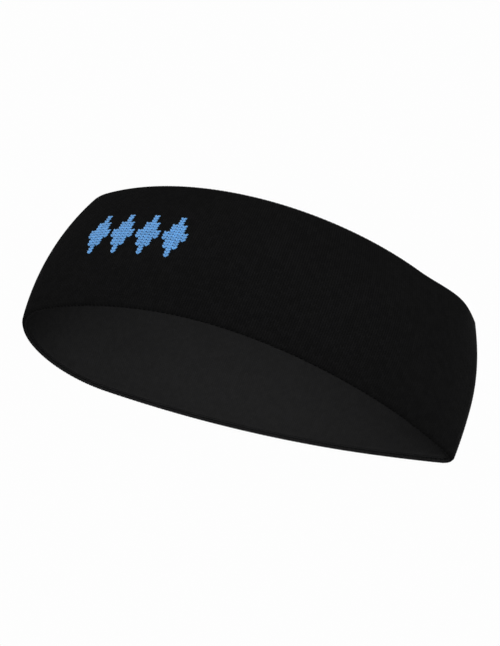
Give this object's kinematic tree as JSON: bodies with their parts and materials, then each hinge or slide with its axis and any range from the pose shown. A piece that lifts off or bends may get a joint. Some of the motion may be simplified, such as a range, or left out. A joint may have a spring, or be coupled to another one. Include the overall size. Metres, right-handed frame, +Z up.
{
  "type": "sports headband",
  "caption": "Wide elastic sports headband, a double-layer knitted loop with turned edges, a knitted motif on the front and a care label sewn inside.",
  "frame": {"origin": "centre of the whole loop's plan box, in the plane of the lower edge that the band rests on", "axes": "+Z up along the loop's axis as it is worn, +X along the loop's long axis towards its creased end, -Y out of the front wall, which carries the motif"},
  "size_m": [0.19, 0.094, 0.064],
  "materials": {
    "face_knit": "matte black jacquard knit",
    "lining_knit": "matte charcoal knit",
    "elastic_tape": "woven elastic tape with rubber warps",
    "seam_thread": "matte twisted polyester thread",
    "motif_yarn": "matte light blue knitted yarn",
    "label_satin": "soft satin ribbon"
  },
  "bodies": {
    "band": {"outer_shell": "face_knit", "inner_lining": "lining_knit", "upper_elastic": "elastic_tape", "lower_elastic": "elastic_tape", "upper_seam_thread": "seam_thread", "lower_seam_thread": "seam_thread", "motif_diamond_1": "motif_yarn", "motif_diamond_2": "motif_yarn", "motif_diamond_3": "motif_yarn", "motif_diamond_4": "motif_yarn", "label_tab": "label_satin", "label_stitches": "seam_thread"},
    "label": {"label_flap": "label_satin"}
  },
  "joints": [
    {"name": "label_fold", "type": "hinge", "parent": "band", "child": "label", "pos_m": [0.06037, 0.02233, 0.056], "axis": [-0.9336, 0.3584, 0], "range_deg": [0, 80]}
  ]
}
